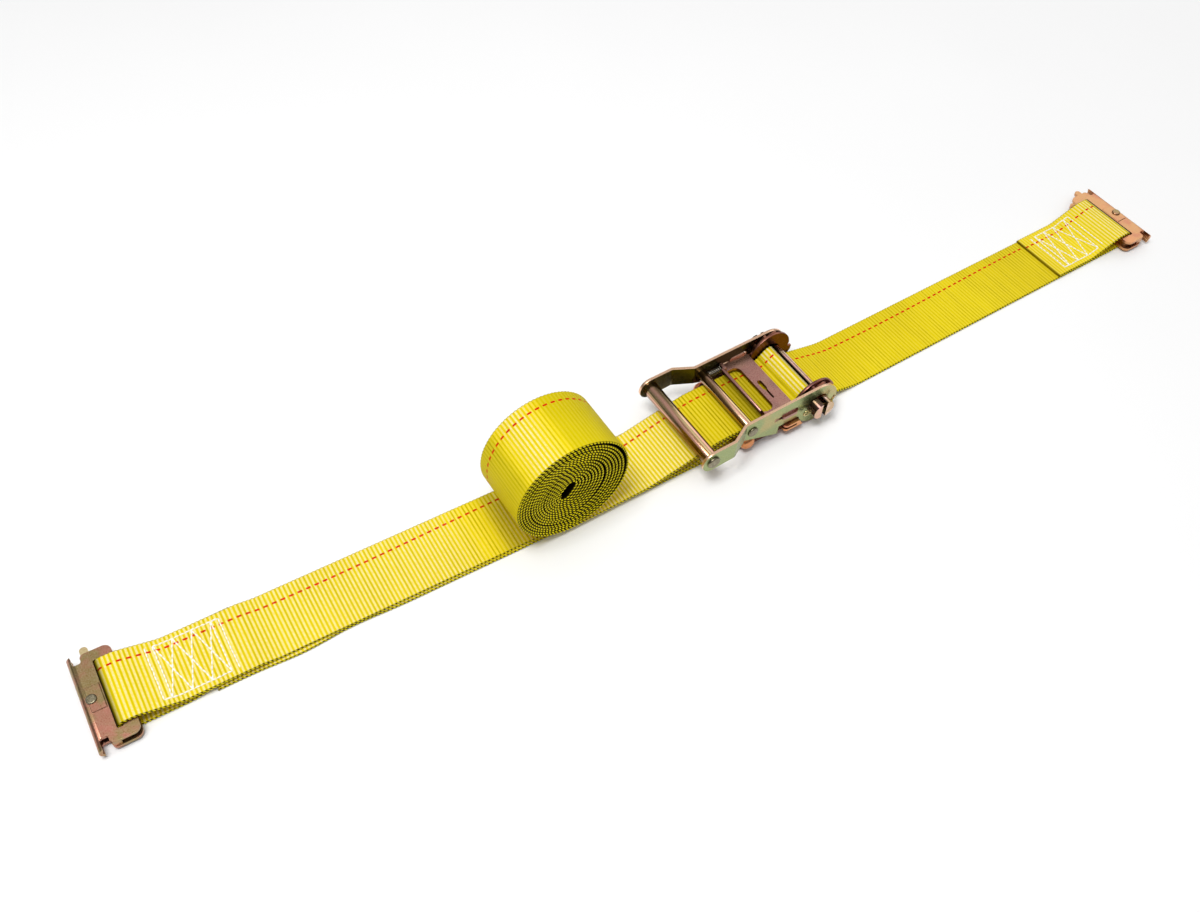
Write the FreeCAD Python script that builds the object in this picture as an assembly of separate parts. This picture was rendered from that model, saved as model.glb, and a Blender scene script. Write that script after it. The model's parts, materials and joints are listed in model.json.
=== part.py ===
import FreeCAD, Part
import math
import os

# Ratchet tie down with spring E-track fittings, in millimetres.
# The origin is on the surface the strap lies on, straight below the middle of the spool.
# +X runs along the strap towards the load strap's fitting, +Y across it, +Z up.

V = FreeCAD.Vector
os.makedirs("parts", exist_ok=True)

# ---- webbing -------------------------------------------------------------------
WEB_WIDTH = 50.8
WEB_THICK = 1.7
GAP = 0.3                       # room between soft webbing and what it lies beside
LAYER = WEB_THICK + GAP         # rise from one ply to the ply on top of it
PLY1 = GAP + WEB_THICK / 2      # middle of the ply on the ground
PLY2 = PLY1 + LAYER
PLY3 = PLY2 + LAYER
HALF_WEB = WEB_WIDTH / 2

# ---- spool and ratchet wheels --------------------------------------------------
SPOOL_Z = 19.0
ROD_R = 7.3                     # each spool rod is a half round bar
SLOT_HALF = 2.0                 # half of the slot between the two rods
ROD_HALF_LENGTH = 41.5
GEAR_R = 18.2
GEAR_ROOT_R = 14.6
GEAR_TEETH = 11
GEAR_Y0 = 28.5
GEAR_Y1 = 31.0
SPOOL_HOLE_R = ROD_R + SLOT_HALF + 0.06   # round hole in base and handle that the rods turn in
COTTER_Y = 36.6
COTTER_R = 1.3
SWEEP_R = 12.0                  # the webbing that turns with the spool stays inside this

# ---- base ------------------------------------------------------------------------
BASE_Y0 = 26.2                  # inner face of a base wall
BASE_Y1 = 28.2
BASE_R = 19.3
ANCHOR_X = -62.0
ANCHOR_Z = 9.0
ANCHOR_END_R = 8.5
ANCHOR_PIN_R = 3.6
ANCHOR_SLEEVE_R = 5.0
ANCHOR_HEAD_R = 6.0
ANCHOR_HEAD_T = 5.6
ANCHOR_LOOP_R = 6.95            # middle of the webbing that goes round the anchor sleeve
FLOOR_X0 = -47.6
FLOOR_X1 = 12.0
FLOOR_T = 2.0

# ---- handle ----------------------------------------------------------------------
HANDLE_T = 2.2
HANDLE_Y0 = 31.3                # inner face of a handle plate beside the base
GRIP_Y0 = 39.2                  # inner face of a handle plate at the grip
JOG_X0 = -84.0
JOG_X1 = -69.0
HANDLE_R = 18.0
GRIP_X = -103.3
GRIP_Z = 25.5
GRIP_END_R = 9.0
PLATE_LOW = [(GRIP_X, GRIP_Z - GRIP_END_R), (-69, 18.6), (-38, 6.6)]    # the lower edge, clear of the anchor
GRIP_TUBE_R = 6.0
BAR_X = -62.0
BAR_Z = 25.0
BAR_R = 4.2

# ---- drive pawl ------------------------------------------------------------------
PAWL_Z0 = 22.6
PAWL_T = 2.4
PAWL_TIP_X = -19.4
PAWL_BACK_X = -46.0
PAWL_TRAVEL = 6.0
EAR_X0 = -35.0
EAR_X1 = -20.5
EAR_Y = 35.2
PULL_LEAN = 35.0                # degrees that the pull leans back from upright
PULL_LENGTH = 7.5
PULL_Y = 24.0
SEAT_TOP_Z = 28.0               # the upright seats that the springs push on, beside the pull
WINDOW_X1 = -33.6
WINDOW_Y = 23.5
SLIT_X = -28.8                  # an oblong hole that runs on as a narrow slit

# ---- lock pawl -------------------------------------------------------------------
LOCK_Z0 = 6.8
LOCK_Z1 = 12.8
LOCK_T = 2.0
LOCK_BACK_X = -31.0
LOCK_TRAVEL = 4.0
LOCK_Y = 36.0

# ---- E-track fittings, in their own frame: u from the fold towards the strap -----
FIT_T = 9.4
FIT_SHEET = 2.2
FIT_LENGTH = 28.0
FIT_HALF = 35.5
ARM_HALF = 34.0
NECK_HALF = 28.0
NOTCH_U0 = 3.0
NOTCH_U1 = 8.6
SLOT_U0 = 15.0
SLOT_U1 = 19.5
SLOT_V = 26.4
PANEL_V = 9.4
RIVET_U = 7.0
FIT_Z = PLY1 + WEB_THICK / 2 + GAP
LATCH_T = 2.6
LATCH_TRAVEL = 6.0

# ---- where the straps end --------------------------------------------------------
LEFT_FOLD_X = -543.5
RIGHT_FOLD_X = 378.0
LEFT_ANGLE = -2.0               # degrees that the fixed strap is turned at the anchor
RIGHT_ANGLE = 0.85
ROLL_X = -210.0
ROLL_R = 45.3


def save(name, shape):
    shape.exportStep("parts/" + name + ".step")
    print(name, "valid", shape.isValid(), "solids", len(shape.Solids), "volume", round(shape.Volume, 1))


def box(x0, x1, y0, y1, z0, z1):
    return Part.makeBox(x1 - x0, y1 - y0, z1 - z0, V(x0, y0, z0))


def rod_y(x, z, r, y0, y1):
    return Part.makeCylinder(r, y1 - y0, V(x, y0, z), V(0, 1, 0))


def rod_x(y, z, r, x0, x1):
    return Part.makeCylinder(r, x1 - x0, V(x0, y, z), V(1, 0, 0))


def rod_z(x, y, r, z0, z1):
    return Part.makeCylinder(r, z1 - z0, V(x, y, z0), V(0, 0, 1))


def prism_xz(points, y0, y1):
    wire = Part.makePolygon([V(x, y0, z) for x, z in points + points[:1]])
    return Part.Face(wire).extrude(V(0, y1 - y0, 0))


def prism_xy(points, z0, z1):
    wire = Part.makePolygon([V(x, y, z0) for x, y in points + points[:1]])
    return Part.Face(wire).extrude(V(0, 0, z1 - z0))


def fuse(shapes):
    return shapes[0].multiFuse(shapes[1:]).removeSplitter()


def mirror_y(shape):
    return shape.mirror(V(0, 0, 0), V(0, 1, 0))


def round_upright(shape, places, radius):
    """Round the upright edges of a shape that stand at the given (x, y) places."""
    edges = []
    for edge in shape.Edges:
        ends = [vertex.Point for vertex in edge.Vertexes]
        if len(ends) == 2 and math.hypot(ends[0].x - ends[1].x, ends[0].y - ends[1].y) < 1e-6:
            if any(math.hypot(ends[0].x - x, ends[0].y - y) < 0.01 for x, y in places):
                edges.append(edge)
    return shape.makeFillet(radius, edges)


def hull_xz(c0, r0, c1, r1, y0, y1):
    """A plate with two round ends and straight sides that touch both."""
    dx, dz = c1[0] - c0[0], c1[1] - c0[1]
    along = math.atan2(dz, dx)
    lean = math.acos((r0 - r1) / math.hypot(dx, dz))
    points = []
    for centre, radius, sign in ((c0, r0, 1), (c1, r1, 1), (c1, r1, -1), (c0, r0, -1)):
        angle = along + sign * lean
        points.append((centre[0] + radius * math.cos(angle), centre[1] + radius * math.sin(angle)))
    return fuse([
        prism_xz(points, y0, y1),
        rod_y(c0[0], c0[1], r0, y0, y1),
        rod_y(c1[0], c1[1], r1, y0, y1),
    ])


# ---- webbing bands -----------------------------------------------------------------
def side_of_band(path, offset):
    """One side of a band: its corners, moved sideways, and the radius of each corner's arc."""
    corners = []
    last = len(path) - 1
    for i, (x, z, radius) in enumerate(path):
        ways = []
        for a, b in ((i - 1, i), (i, i + 1)):
            if a >= 0 and b <= last:
                dx, dz = path[b][0] - path[a][0], path[b][1] - path[a][1]
                size = math.hypot(dx, dz)
                ways.append((dx / size, dz / size))
        if len(ways) == 1:
            corners.append((x - ways[0][1] * offset, z + ways[0][0] * offset, 0))
            continue
        (ax, az), (bx, bz) = ways
        turn = math.atan2(ax * bz - az * bx, ax * bx + az * bz)
        mx, mz = -(az + bz), ax + bx
        size = math.hypot(mx, mz)
        reach = offset / math.cos(turn / 2)
        corners.append((x + mx / size * reach, z + mz / size * reach, radius - math.copysign(1, turn) * offset))
    return corners


def edges_of(corners, y):
    """Straight edges joined by tangent arcs."""
    edges = []
    start = V(corners[0][0], y, corners[0][1])
    for i in range(1, len(corners)):
        x, z, radius = corners[i]
        corner = V(x, y, z)
        if i == len(corners) - 1:
            edges.append(Part.LineSegment(start, corner).toShape())
            break
        before = V(corners[i - 1][0], y, corners[i - 1][1]).sub(corner).normalize()
        after = V(corners[i + 1][0], y, corners[i + 1][1]).sub(corner).normalize()
        half = before.getAngle(after) / 2
        first = corner + before * (radius / math.tan(half))
        second = corner + after * (radius / math.tan(half))
        middle = (before + after).normalize() * (radius / math.sin(half) - radius)
        if first.distanceToPoint(start) > 1e-3:
            edges.append(Part.LineSegment(start, first).toShape())
        else:
            first = start
        edges.append(Part.Arc(first, corner + middle, second).toShape())
        start = second
    return edges


def band(path):
    """A flat strap, full width, whose middle follows a path of (x, z, arc radius)."""
    y = -HALF_WEB
    left = edges_of(side_of_band(path, WEB_THICK / 2), y)
    right = edges_of(side_of_band(path, -WEB_THICK / 2), y)
    ends = []
    for a, b in ((left[0].firstVertex(), right[0].firstVertex()), (left[-1].lastVertex(), right[-1].lastVertex())):
        ends.append(Part.LineSegment(a.Point, b.Point).toShape())
    wire = Part.Wire(Part.__sortEdges__(left + right + ends))
    return Part.Face(wire).extrude(V(0, WEB_WIDTH, 0))


def spring(start, axis, length, radius, wire_r, turns):
    """An open coil spring along an axis."""
    pitch = (length - 2 * wire_r) / turns
    helix = Part.makeHelix(pitch, length - 2 * wire_r, radius)
    section = Part.Wire(Part.makeCircle(wire_r, V(radius, 0, 0), V(0, 1, 0)))
    coil = Part.Wire(helix).makePipeShell([section], True, True)
    coil.translate(V(0, 0, wire_r))
    coil.Placement = FreeCAD.Placement(start, FreeCAD.Rotation(V(0, 0, 1), axis)).multiply(coil.Placement)
    return coil


# ---- base ---------------------------------------------------------------------------
def base_frame():
    """Two side walls joined by a floor, with a tab that the lock pawl's spring pushes on."""
    outline = [
        (ANCHOR_X, ANCHOR_Z - ANCHOR_END_R),
        (-16, 0), (FLOOR_X1, 0), (18.2, 5.5), (22.0, 12.0), (22.3, 15.6), (19.0, 16.2), (0, SPOOL_Z),
        (ANCHOR_X, ANCHOR_Z + ANCHOR_END_R),
    ]
    y0, y1 = BASE_Y0, BASE_Y1
    disc = rod_y(0, SPOOL_Z, BASE_R, y0, y1).common(box(-30, 30, y0, y1, 0, 60))
    wall = fuse([
        prism_xz(outline, y0, y1),
        rod_y(ANCHOR_X, ANCHOR_Z, ANCHOR_END_R, y0, y1),
        disc,
    ])
    notch = rod_y(20.3, 18.2, 2.1, y0, y1)
    lock_slot = box(LOCK_BACK_X - LOCK_TRAVEL - 0.4, lock_nose(LOCK_Z0) + 0.3, y0, y1, LOCK_Z0 - 0.3, LOCK_Z1 + 0.3)
    holes = [
        rod_y(0, SPOOL_Z, SPOOL_HOLE_R, y0, y1),
        rod_y(ANCHOR_X, ANCHOR_Z, ANCHOR_PIN_R, y0, y1),
        notch,
        lock_slot,
    ]
    wall = wall.cut(holes)
    floor = box(FLOOR_X0, FLOOR_X1, -BASE_Y0, BASE_Y0, 0, FLOOR_T)
    tab = box(FLOOR_X0, FLOOR_X0 + 1.8, -11, 11, 0, 14)
    tab = tab.cut(rod_x(0, lock_middle(), 1.2, FLOOR_X0, FLOOR_X0 + 1.8))
    return fuse([wall, mirror_y(wall), floor, tab])


def anchor_sleeve():
    outer = rod_y(ANCHOR_X, ANCHOR_Z, ANCHOR_SLEEVE_R, -BASE_Y0, BASE_Y0)
    return outer.cut(rod_y(ANCHOR_X, ANCHOR_Z, ANCHOR_PIN_R + 0.05, -BASE_Y0, BASE_Y0))


def lock_middle():
    return (LOCK_Z0 + LOCK_Z1) / 2


def lock_nose(z):
    """Where the lock pawl's nose ends at a height, just clear of the ratchet wheels."""
    return -math.sqrt((GEAR_R + 0.35) ** 2 - (SPOOL_Z - z) ** 2)


def lock_pawl():
    """A folded plate that blocks the ratchet wheels, with an ear through each base wall."""
    low, high = lock_nose(LOCK_Z0), lock_nose(LOCK_Z1)
    outline = [
        (LOCK_BACK_X, LOCK_Z0), (low, LOCK_Z0), (high, LOCK_Z1), (LOCK_BACK_X, LOCK_Z1),
        (LOCK_BACK_X, LOCK_Z1 - LOCK_T), (high - 2.4, LOCK_Z1 - LOCK_T),
        (high - 2.4, LOCK_Z0 + LOCK_T), (LOCK_BACK_X, LOCK_Z0 + LOCK_T),
    ]
    pawl = prism_xz(outline, -LOCK_Y, LOCK_Y)
    tips = [(LOCK_BACK_X, LOCK_Y), (LOCK_BACK_X, -LOCK_Y)]
    pawl = round_upright(pawl, tips, 3.0)
    pocket = box(LOCK_BACK_X, high - 2.4, -3.6, 3.6, LOCK_Z0, LOCK_Z1)
    return pawl.cut(pocket)


# ---- spool -------------------------------------------------------------------------
def spool_rod(side):
    """A half round bar; the flat faces of the two bars face each other across the slot."""
    x = side * SLOT_HALF
    bar = rod_y(x, SPOOL_Z, ROD_R, -ROD_HALF_LENGTH, ROD_HALF_LENGTH)
    keep = box(min(x, side * 20), max(x, side * 20), -50, 50, 0, 50)
    bar = bar.common(keep)
    holes = [rod_x(y, SPOOL_Z, COTTER_R + 0.15, -12, 12) for y in (-COTTER_Y, COTTER_Y)]
    return bar.cut(holes)


def ratchet_wheel(side, rods):
    """A wheel with saw teeth: a steep face that a pawl stops, and a sloping back."""
    points = []
    for i in range(GEAR_TEETH):
        for radius, part in ((GEAR_ROOT_R, 0.0), (GEAR_R, 0.12), (GEAR_R, 0.3), (GEAR_ROOT_R + 1.4, 0.75)):
            angle = 2 * math.pi * (i + part) / GEAR_TEETH
            points.append((radius * math.cos(angle), SPOOL_Z + radius * math.sin(angle)))
    y0, y1 = sorted((side * GEAR_Y0, side * GEAR_Y1))
    return prism_xz(points, y0, y1).cut(rods)


def cotter_pin(side):
    """A split pin through both rods, with a round eye and two bent legs."""
    y = side * COTTER_Y
    shank = rod_x(y, SPOOL_Z, COTTER_R, -11.2, 11.0)
    eye = Part.makeTorus(2.3, 0.8, V(-13.0, y, SPOOL_Z), V(0, 1, 0))
    legs = []
    for way in (-1, 1):
        leg = Part.makeCylinder(0.8, 5.2, V(10.4, y, SPOOL_Z + 0.4 * way), V(0.55, 0, way))
        legs.append(leg)
    return fuse([shank, eye] + legs)


# ---- handle ------------------------------------------------------------------------
def handle_plate():
    """The plate on the +Y side: beside the base it runs close in, at the grip further out."""
    t = HANDLE_T
    plan = [
        (-120, GRIP_Y0), (JOG_X0, GRIP_Y0), (JOG_X1, HANDLE_Y0), (30, HANDLE_Y0),
        (30, HANDLE_Y0 + t), (JOG_X1 + 0.6, HANDLE_Y0 + t), (JOG_X0 + 0.6, GRIP_Y0 + t), (-120, GRIP_Y0 + t),
    ]
    bent = prism_xy(plan, -5, 60)
    edges = []
    for edge in bent.Edges:
        ends = [vertex.Point for vertex in edge.Vertexes]
        if abs(ends[0].z - ends[1].z) > 30 and JOG_X0 - 1 < ends[0].x < JOG_X1 + 1:
            edges.append(edge)
    bent = bent.makeFillet(2.5, edges)
    outline = hull_xz((GRIP_X, GRIP_Z), GRIP_END_R, (0, SPOOL_Z), HANDLE_R, HANDLE_Y0 - 5, GRIP_Y0 + 10)
    y0, y1 = HANDLE_Y0 - 5, GRIP_Y0 + 10
    lock_room = box(LOCK_BACK_X - LOCK_TRAVEL - 1.2, 0, y0, y1, -5, LOCK_Z1 + 1.6)
    lock_room = lock_room.cut(rod_y(0, SPOOL_Z, HANDLE_R, y0, y1))
    ear_room = box(EAR_X0 - PAWL_TRAVEL - 0.4, EAR_X1 + 1.0, y0, y1, PAWL_Z0 - 0.3, PAWL_Z0 + PAWL_T + 0.3)
    under = prism_xz([(PLATE_LOW[0][0], -5), *PLATE_LOW, (PLATE_LOW[-1][0], -5)], y0, y1)
    bend_x = PLATE_LOW[1][0]
    bend = [e for e in under.Edges if abs(e.BoundBox.XMin - bend_x) + abs(e.BoundBox.XMax - bend_x) < 0.02]
    under = under.makeFillet(4.0, bend)
    high_room = hull_xz((EAR_X0 + 2.4, 25.0), 2.2, (EAR_X1 - 2.0, 24.4), 3.2, y0, y1)
    holes = [
        rod_y(0, SPOOL_Z, SPOOL_HOLE_R, y0, y1),
        rod_y(GRIP_X, GRIP_Z, 3.3, y0, y1),
        rod_y(BAR_X, BAR_Z, 2.6, y0, y1),
        lock_room,
        ear_room,
        high_room,
        under,
    ]
    return bent.common(outline).cut(holes)


def tube(x, z, outer, inner, half):
    return rod_y(x, z, outer, -half, half).cut(rod_y(x, z, inner, -half, half))


def rivet(x, z, shank_r, head_r, half, head_t):
    """A rivet along Y with a domed head at each end."""
    shank = rod_y(x, z, shank_r, -half, half)
    heads = []
    for side in (-1, 1):
        y0, y1 = sorted((side * half, side * (half + head_t)))
        head = rod_y(x, z, head_r, y0, y1)
        rim = [e for e in head.Edges if abs(abs(e.BoundBox.YMax) - half - head_t) < 0.01 and e.Closed]
        heads.append(head.makeFillet(head_t * 0.7, rim))
    return fuse([shank] + heads)


# ---- drive pawl --------------------------------------------------------------------
def pull():
    """The turned-up pull: a strip that leans back from the plate's rear edge."""
    lean = math.radians(PULL_LEAN)
    inner = (PAWL_BACK_X + PAWL_T, PAWL_Z0 + PAWL_T)
    outer = (inner[0] - PAWL_T * math.cos(lean), inner[1] - PAWL_T * math.sin(lean))
    dx, dz = -PULL_LENGTH * math.sin(lean), PULL_LENGTH * math.cos(lean)
    top = [(outer[0] + dx, outer[1] + dz), (inner[0] + dx, inner[1] + dz)]
    strip = prism_xz([inner, outer] + top, -PULL_Y, PULL_Y)
    rim = [e for e in strip.Edges if e.BoundBox.ZMin > SEAT_TOP_Z and e.Length > PULL_Y]
    return strip.makeFillet(0.9, rim)


def drive_pawl():
    """A flat plate with a finger window, a turned-up pull and an ear through each handle plate."""
    z0, z1 = PAWL_Z0, PAWL_Z0 + PAWL_T
    inner = HANDLE_Y0 - 0.6
    plate = box(PAWL_BACK_X, PAWL_TIP_X, -inner, inner, z0, z1)
    corners = [(PAWL_TIP_X, inner), (PAWL_TIP_X, -inner)]
    plate = round_upright(plate, corners, 1.5)
    ears = box(EAR_X0, EAR_X1, -EAR_Y, EAR_Y, z0, z1)
    ears = round_upright(ears, [(x, y) for x in (EAR_X0, EAR_X1) for y in (-EAR_Y, EAR_Y)], 2.0)
    seat = box(PAWL_BACK_X, PAWL_BACK_X + PAWL_T, PULL_Y + 0.5, inner, z0, SEAT_TOP_Z)
    window = box(PAWL_BACK_X + PAWL_T + 0.01, WINDOW_X1, -WINDOW_Y, WINDOW_Y, z0, z1)
    window = round_upright(window, [(WINDOW_X1, WINDOW_Y), (WINDOW_X1, -WINDOW_Y)], 5.0)
    rooms = [window]
    for half, low, high in ((1.8, -6.0, 4.0), (0.85, -15.5, -3.0)):
        room = box(SLIT_X - half, SLIT_X + half, low, high, z0, z1)
        corners = [(x, y) for x in (SLIT_X - half, SLIT_X + half) for y in (low, high)]
        rooms.append(round_upright(room, corners, 0.95 * half))
    return fuse([plate, ears, pull(), seat, mirror_y(seat)]).cut(rooms)


# ---- E-track fitting in its own frame ----------------------------------------------
def fitting_body():
    """A sheet folded over on the track side, with hooks, arms, a webbing slot and a raised panel."""
    t = FIT_SHEET
    half = FIT_T / 2
    length = 2 * FIT_HALF
    outer = fuse([
        Part.makeCylinder(half, length, V(half, -FIT_HALF, half), V(0, 1, 0)),
        box(half, FIT_LENGTH, -FIT_HALF, FIT_HALF, 0, FIT_T),
    ])
    inner = fuse([
        Part.makeCylinder(half - t, length, V(half, -FIT_HALF, half), V(0, 1, 0)),
        box(half, FIT_LENGTH, -FIT_HALF, FIT_HALF, t, FIT_T - t),
    ])
    folded = outer.cut(inner)
    plan = [(-1, FIT_HALF), (NOTCH_U0, FIT_HALF), (NOTCH_U0, NECK_HALF), (NOTCH_U1, NECK_HALF)]
    plan += [(NOTCH_U1, ARM_HALF), (FIT_LENGTH, ARM_HALF)]
    plan += [(u, -v) for u, v in reversed(plan)]
    flat = prism_xy(plan, -1, FIT_T + 1)
    flat = round_upright(flat, [(FIT_LENGTH, ARM_HALF), (FIT_LENGTH, -ARM_HALF)], 5.0)
    flat = round_upright(flat, [(NOTCH_U1, ARM_HALF), (NOTCH_U1, -ARM_HALF)], 3.0)
    necks = [(u, v) for u in (NOTCH_U0, NOTCH_U1) for v in (-NECK_HALF, NECK_HALF)]
    flat = round_upright(flat, necks, 1.6)
    slot = box(SLOT_U0, SLOT_U1, -SLOT_V, SLOT_V, -1, FIT_T + 1)
    slot = round_upright(slot, [(u, v) for u in (SLOT_U0, SLOT_U1) for v in (-SLOT_V, SLOT_V)], 1.2)
    panel = box(half, SLOT_U0 - 0.6, -PANEL_V, PANEL_V, FIT_T - 0.01, FIT_T + 0.5)
    rim = [e for e in panel.Edges if e.BoundBox.ZMin > FIT_T + 0.4]
    panel = panel.makeChamfer(0.45, rim)
    stop = box(9.0, 14.6, -33.2, -31.6, t, FIT_T - t)
    holes = [slot, rod_z(RIVET_U, 0, 2.2, -1, FIT_T + 1)]
    return fuse([folded.common(flat), panel, stop]).cut(holes)


def fitting_rivet():
    """The rivet that holds the sheet together and guides the latch."""
    shank = rod_z(RIVET_U, 0, 2.2, 0, FIT_T + 0.5)
    low = rod_z(RIVET_U, 0, 3.5, -0.9, 0)
    high = rod_z(RIVET_U, 0, 3.5, FIT_T + 0.5, FIT_T + 1.6)
    rim = [e for e in high.Edges if e.BoundBox.ZMin > FIT_T + 1.5 and e.Closed]
    return fuse([shank, low, high.makeFillet(0.9, rim)])


def fitting_latch():
    """A spring-loaded plate between the two sheets, with a rounded thumb tab past one arm."""
    z0 = (FIT_T - LATCH_T) / 2
    z1 = z0 + LATCH_T
    body = box(3.6, 14.5, -14, 25, z0, z1)
    tab = box(9.2, 14.5, -16, 41, z0, z1)
    tab = round_upright(tab, [(9.2, 41), (14.5, 41)], 2.5)
    slot = box(RIVET_U - 2.5, RIVET_U + 2.4, 0, LATCH_TRAVEL, z0, z1)
    ends = [rod_z(RIVET_U, y, 2.45, z0, z1) for y in (0, LATCH_TRAVEL)]
    return fuse([body, tab]).cut([slot] + ends)


def fitting_spring():
    return spring(V(11.8, -31.4, FIT_T / 2), V(0, 1, 0), 15.2, 1.75, 0.4, 7)


def place_left(shape):
    """Turn a shape of the fixed end about the anchor, as the strap lies."""
    shape = shape.copy()
    shape.rotate(V(ANCHOR_X, 0, 0), V(0, 0, 1), LEFT_ANGLE)
    return shape


def place_right(shape):
    shape = shape.copy()
    shape.rotate(V(0, 0, 0), V(0, 0, 1), RIGHT_ANGLE)
    return shape


def left_fitting(shape):
    shape = shape.copy()
    shape.translate(V(LEFT_FOLD_X, 0, FIT_Z))
    return place_left(shape)


def right_fitting(shape):
    """The same piece the other way round; its latch tab is on the same side of the strap."""
    shape = shape.mirror(V(0, 0, 0), V(1, 0, 0))
    shape.translate(V(RIGHT_FOLD_X, 0, FIT_Z))
    return place_right(shape)


# ---- straps --------------------------------------------------------------------------
OVER = FIT_Z + FIT_T + 0.5 + GAP + WEB_THICK / 2   # middle of the ply that lies on a fitting
THROUGH = SLOT_U1 - GAP - WEB_THICK / 2            # middle of the ply in a fitting's slot


def fixed_strap():
    """One length looped through the left fitting and round the anchor, its ends overlapped."""
    slot_x = LEFT_FOLD_X + THROUGH
    loop_top = ANCHOR_Z + ANCHOR_LOOP_R
    loop_low = ANCHOR_Z - ANCHOR_LOOP_R
    loop_right = ANCHOR_X + ANCHOR_LOOP_R
    path = [
        (-441, PLY2, 0), (-472, PLY2, 12), (-482, PLY1, 12),
        (slot_x, PLY1, 1.5), (slot_x, OVER, 1.5),
        (slot_x + 12, OVER, 12), (-488, PLY3, 25), (-436, PLY3, 20), (-424, PLY2, 20),
        (-108, PLY2, 40), (-72, loop_top, 12),
        (loop_right, loop_top, ANCHOR_LOOP_R - 0.01), (loop_right, loop_low, ANCHOR_LOOP_R - 0.01),
        (-76, PLY1, 30), (-467, PLY1, 0),
    ]
    return band(path)


def long_strap():
    """From the roll, over the fixed strap, through the spool's slot and out to the right fitting."""
    arc = ROD_R + 0.2 + WEB_THICK / 2
    lean = 0.1285                                  # slope of the ply that crosses the slot
    top, low = SPOOL_Z + arc, SPOOL_Z - arc
    across = arc * math.tan(lean)
    rise = arc * math.tan(math.radians(22.5))
    tail_z = 19.15
    meet = -SLOT_HALF - rise - (top - tail_z)
    slot_x = RIGHT_FOLD_X - THROUGH
    path = [
        (ROLL_X - 2, PLY3, 0), (-146, PLY3, 60), (-84, tail_z, 60), (meet, tail_z, 6),
        (-SLOT_HALF - rise, top, arc), (-across, top, 1.0), (across, low, 1.0),
        (14, low, 30), (50, PLY1, 60),
        (slot_x, PLY1, 1.5), (slot_x, OVER, 1.5),
        (slot_x - 12, OVER, 12), (slot_x - 42, PLY2, 25), (277, PLY2, 0),
    ]
    return band(path)


def cut_long_strap(strap):
    """Divide the long strap where it meets the roll and where it turns with the spool."""
    inside = rod_y(0, SPOOL_Z, SWEEP_R, -60, 60)
    outside = rod_y(0, SPOOL_Z, SWEEP_R + GAP, -60, 60)
    roll_room = rod_y(ROLL_X, roll_z(), ROLL_R + GAP, -60, 60)
    pieces = strap.cut([outside, roll_room]).Solids
    pieces.sort(key=lambda s: s.BoundBox.XMin)
    return pieces[-2], strap.common(inside).Solids[0], pieces[-1]


def roll_z():
    return PLY2 + WEB_THICK / 2 + GAP + ROLL_R


def strap_roll():
    """The rolled up free end, with a small open core."""
    roll = rod_y(ROLL_X, roll_z(), ROLL_R, -HALF_WEB, HALF_WEB)
    core = hull_xz((ROLL_X - 4, roll_z() - 1), 2.6, (ROLL_X + 4, roll_z() + 2), 2.6, -HALF_WEB, HALF_WEB)
    return roll.cut(core)


# ---- write every piece ---------------------------------------------------------------
save("base_frame", base_frame())
save("anchor_rivet", rivet(ANCHOR_X, ANCHOR_Z, ANCHOR_PIN_R, ANCHOR_HEAD_R, BASE_Y1, ANCHOR_HEAD_T))
save("anchor_sleeve", anchor_sleeve())
save("lock_pawl", lock_pawl())
lock_seat = V(FLOOR_X0 + 1.9, 0, lock_middle())
save("lock_pawl_spring", spring(lock_seat, V(1, 0, 0), lock_nose(LOCK_Z1) - 2.5 - lock_seat.x, 2.0, 0.45, 8))

rods = [spool_rod(-1), spool_rod(1)]
save("spool_rod_left", rods[0])
save("spool_rod_right", rods[1])
for side, word in ((-1, "near"), (1, "far")):
    save("ratchet_wheel_" + word, ratchet_wheel(side, rods))
    save("cotter_pin_" + word, cotter_pin(side))

plate = handle_plate()
save("handle_plate_far", plate)
save("handle_plate_near", mirror_y(plate))
save("grip_tube", tube(GRIP_X, GRIP_Z, GRIP_TUBE_R, 3.35, GRIP_Y0))
save("grip_rivet", rivet(GRIP_X, GRIP_Z, 3.3, 5.2, GRIP_Y0 + HANDLE_T, 1.8))
save("crossbar_tube", tube(BAR_X, BAR_Z, BAR_R, 2.65, HANDLE_Y0))
save("crossbar_rivet", rivet(BAR_X, BAR_Z, 2.6, 4.3, HANDLE_Y0 + HANDLE_T, 1.5))
save("drive_pawl", drive_pawl())
spring_x = BAR_X + BAR_R
for side, word in ((-1, "near"), (1, "far")):
    seat = V(spring_x, side * 28.0, BAR_Z)
    save("drive_pawl_spring_" + word, spring(seat, V(1, 0, 0), PAWL_BACK_X - spring_x, 2.0, 0.45, 7))

for word, place in (("left", left_fitting), ("right", right_fitting)):
    save(word + "_fitting_body", place(fitting_body()))
    save(word + "_fitting_rivet", place(fitting_rivet()))
    save(word + "_fitting_latch", place(fitting_latch()))
    save(word + "_fitting_spring", place(fitting_spring()))

save("fixed_strap", place_left(fixed_strap()))
tail, turn, load = cut_long_strap(long_strap())
save("tail_strap", tail)
save("spool_turn", turn)
save("load_strap", place_right(load))
save("strap_roll", strap_roll())
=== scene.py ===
import json
import math

import bpy
import numpy as np
from mathutils import Matrix, Vector

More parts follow.
